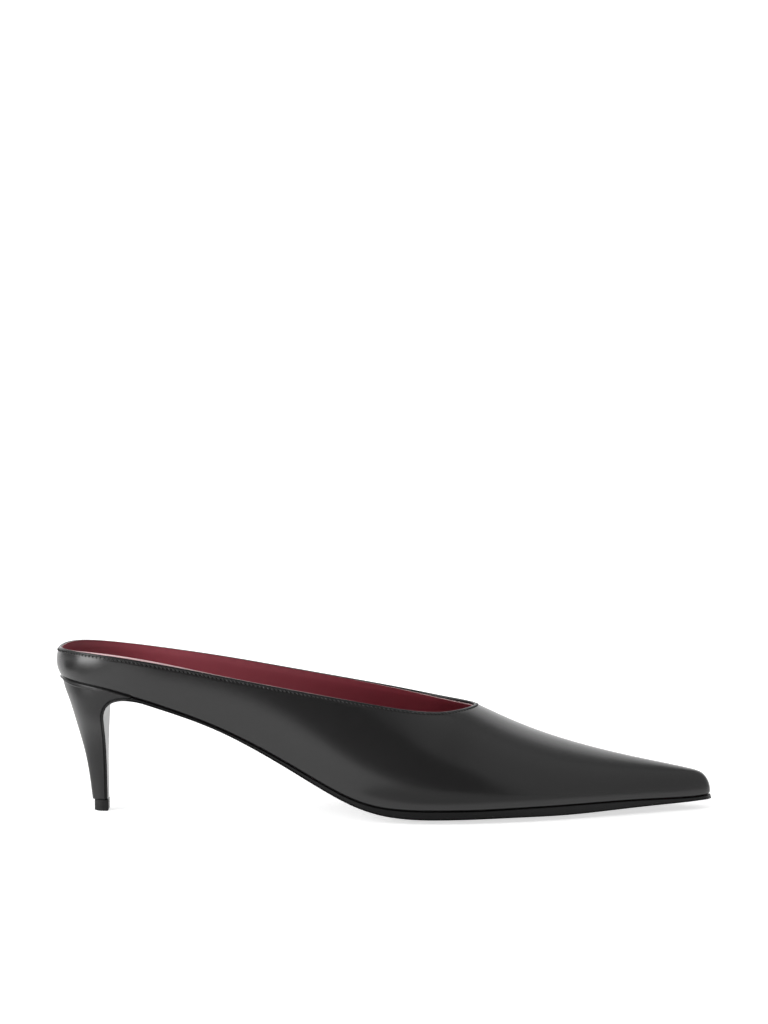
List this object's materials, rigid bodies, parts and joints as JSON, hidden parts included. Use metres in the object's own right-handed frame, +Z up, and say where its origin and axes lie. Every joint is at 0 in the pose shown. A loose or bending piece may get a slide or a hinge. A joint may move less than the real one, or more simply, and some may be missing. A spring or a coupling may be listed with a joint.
{
  "type": "mule shoe",
  "caption": "Right-foot mule: pointed closed toe, low wall round an open collar, arched thin sole and slim kitten heel.",
  "frame": {"origin": "on the floor, under the middle of the shoe's box", "axes": "+X towards the toe, +Y towards the inner (medial) side, which is the wearer's left on this right shoe, +Z up"},
  "size_m": [0.2698, 0.078, 0.0687],
  "materials": {
    "upper_leather": "semi-gloss smooth",
    "lining_leather": "satin",
    "sole_leather": "polished edge",
    "heel_cover": "semi-gloss smooth",
    "heel_tip_plastic": "matt"
  },
  "bodies": {
    "root": {"outsole": "sole_leather", "insole": "lining_leather", "upper": "upper_leather", "heel": "heel_cover", "heel_tip": "heel_tip_plastic"}
  },
  "joints": []
}
